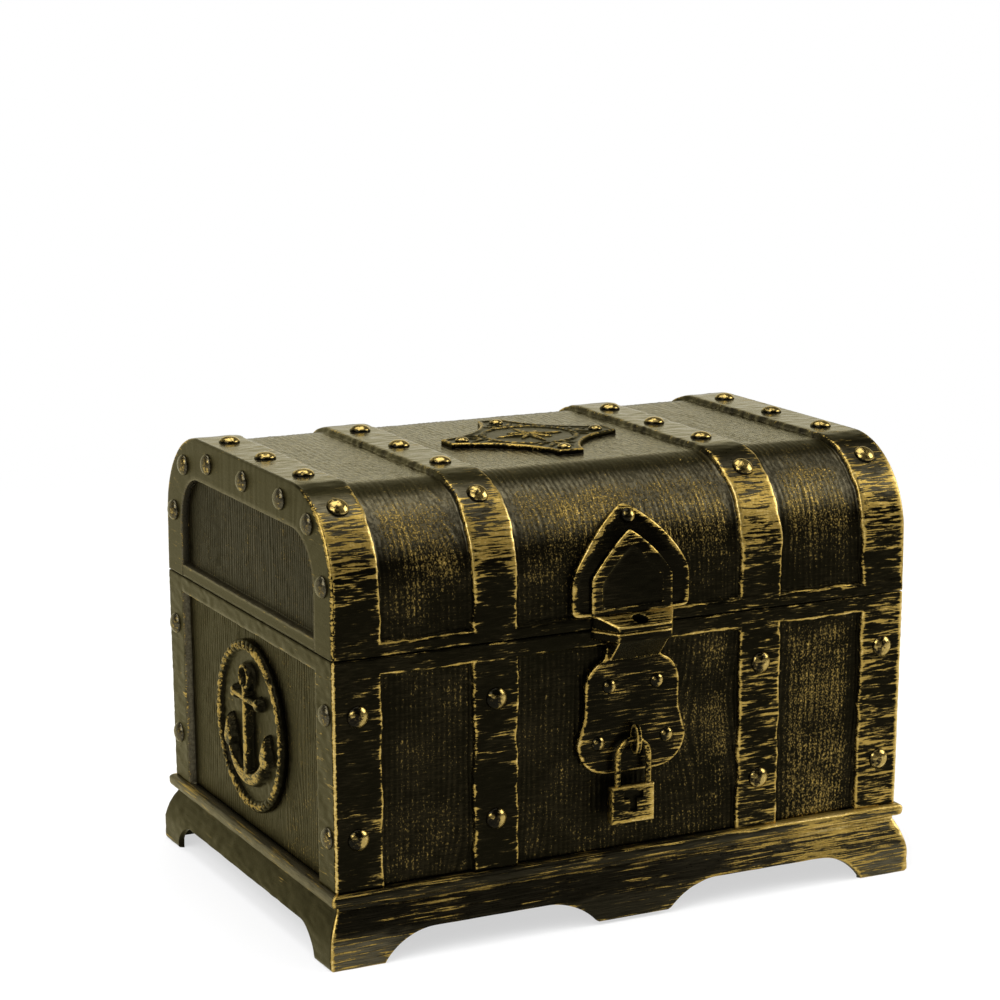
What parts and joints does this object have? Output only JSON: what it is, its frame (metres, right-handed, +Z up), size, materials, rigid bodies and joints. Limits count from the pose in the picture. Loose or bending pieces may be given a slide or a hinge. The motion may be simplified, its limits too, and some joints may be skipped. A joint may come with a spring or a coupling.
{
  "type": "treasure chest box",
  "caption": "Moulded treasure chest box with a round-shouldered hinged lid, raised straps, stud heads, a hasp over a catch, a bracket-foot plinth and a small hanging padlock.",
  "frame": {"origin": "on the floor, under the middle of the box", "axes": "+Z up, -Y towards the front with the lock, +X to the right seen from the front"},
  "size_m": [0.1592, 0.1217, 0.1119],
  "materials": {
    "aged_wood": "moulded wood grain, dry-brushed antique gold",
    "fitting": "satin, dry-brushed antique gold on the edges",
    "relief": "satin relief, rubbed antique gold",
    "stud": "glossy antique gold domes",
    "padlock": "satin, rubbed antique gold",
    "steel": "plain wire"
  },
  "bodies": {
    "chest": {"chest_body": "aged_wood", "plinth": "aged_wood", "lock_plate": "fitting", "catch": "fitting", "staple": "fitting", "side_emblem_left": "relief", "side_emblem_right": "relief", "front_rivets": "stud", "back_rivets": "stud", "side_rivets_left": "stud", "side_rivets_right": "stud", "lock_plate_rivets": "stud", "hinge_pin_left": "steel", "hinge_pin_right": "steel"},
    "lid": {"lid": "aged_wood", "lid_lock_plate": "fitting", "hasp": "fitting", "hasp_rivet": "stud", "lid_badge": "relief", "badge_rivets": "stud", "lid_strap_rivets": "stud", "lid_end_rivets_left": "stud", "lid_end_rivets_right": "stud"},
    "padlock": {"padlock_case": "padlock", "padlock_shackle": "padlock"}
  },
  "joints": [
    {"name": "lid_hinge", "type": "hinge", "parent": "chest", "child": "lid", "pos_m": [0, 0.05665, 0.07295], "axis": [-1, 0, 0], "range_deg": [0, 108]},
    {"name": "padlock_swing", "type": "hinge", "parent": "chest", "child": "padlock", "pos_m": [0, -0.05595, 0.0454], "axis": [-1, 0, 0], "range_deg": [-5, 120]}
  ]
}
